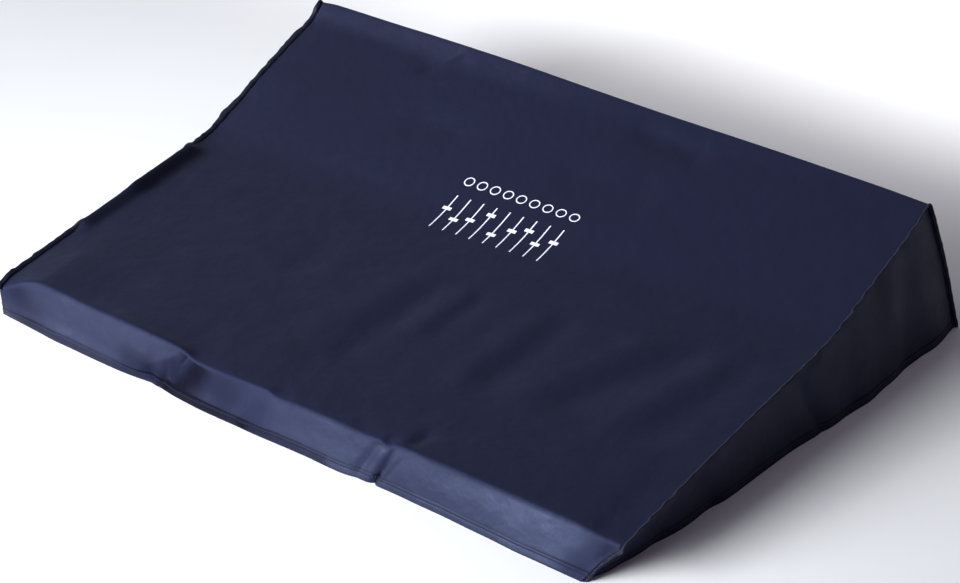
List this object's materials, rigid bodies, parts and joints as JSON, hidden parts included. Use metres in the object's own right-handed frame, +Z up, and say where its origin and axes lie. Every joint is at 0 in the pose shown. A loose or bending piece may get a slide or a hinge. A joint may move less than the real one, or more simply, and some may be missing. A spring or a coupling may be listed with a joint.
{
  "type": "mixing desk dust cover",
  "caption": "Loose wedge-shaped cloth cover for a sloped mixing desk, with side gussets, bound seams and a stitched hem, open below.",
  "frame": {"origin": "middle of the whole cover, on the floor that its hem stands on", "axes": "+Z up, the low front faces -Y and the high back +Y, +X to the user's right"},
  "size_m": [0.885, 0.6248, 0.1706],
  "materials": {
    "coated_nylon": "fine weave with a soft sheen",
    "binding_tape": "dull woven tape"
  },
  "bodies": {
    "root": {"body_panel": "coated_nylon", "right_gusset": "coated_nylon", "left_gusset": "coated_nylon", "right_binding": "binding_tape", "left_binding": "binding_tape"}
  },
  "joints": []
}
